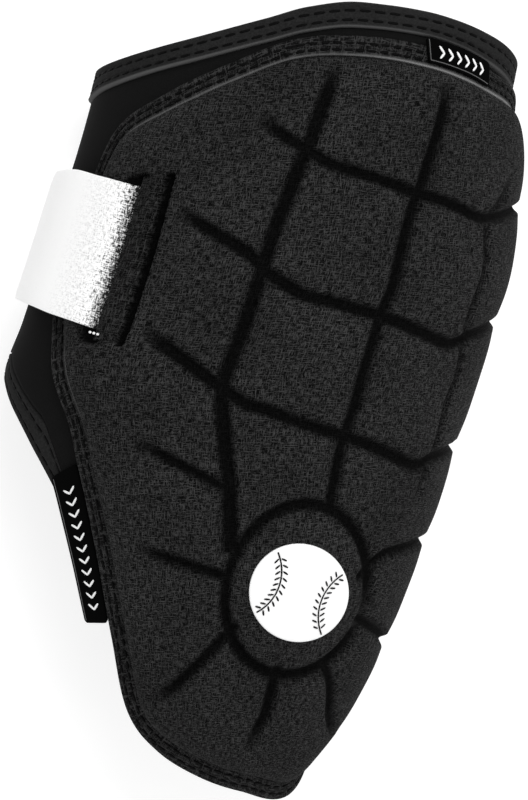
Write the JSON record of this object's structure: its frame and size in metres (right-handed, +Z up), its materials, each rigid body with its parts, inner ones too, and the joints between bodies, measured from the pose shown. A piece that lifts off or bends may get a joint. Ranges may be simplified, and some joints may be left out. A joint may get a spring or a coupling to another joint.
{
  "type": "baseball elbow guard",
  "caption": "Padded arm guard for batting: a moulded front pad with pressed blocks and a round elbow cap, sewn to a stretch sleeve with turned hems and an elastic strap",
  "frame": {"origin": "middle of the guard's bounding box, on the surface that it lies on", "axes": "+Z up through the pad, +Y from the pad's tip to the upper opening, +X to the right of the front view, which is seen from above"},
  "size_m": [0.1462, 0.2246, 0.0885],
  "materials": {
    "pad_cloth": "coarse woven cloth bonded over foam, charcoal black",
    "binding_cloth": "flat woven edge band with two rows of black stitching",
    "sleeve_cloth": "smooth matte stretch cloth over thin rubber foam",
    "hem_cloth": "turned stretch cloth with two rows of black stitching",
    "strap_elastic": "white woven elastic",
    "tab_webbing": "plain black webbing",
    "emblem_print": "matte white moulded rubber",
    "label_satin": "black satin woven label"
  },
  "bodies": {
    "root": {"pad": "pad_cloth", "pad_binding": "binding_cloth", "sleeve": "sleeve_cloth", "sleeve_top_hem": "hem_cloth", "sleeve_lower_hem": "hem_cloth", "strap": "strap_elastic", "strap_tab": "tab_webbing", "strap_keeper": "pad_cloth", "emblem": "emblem_print", "side_label": "label_satin", "hem_label": "label_satin"}
  },
  "joints": []
}
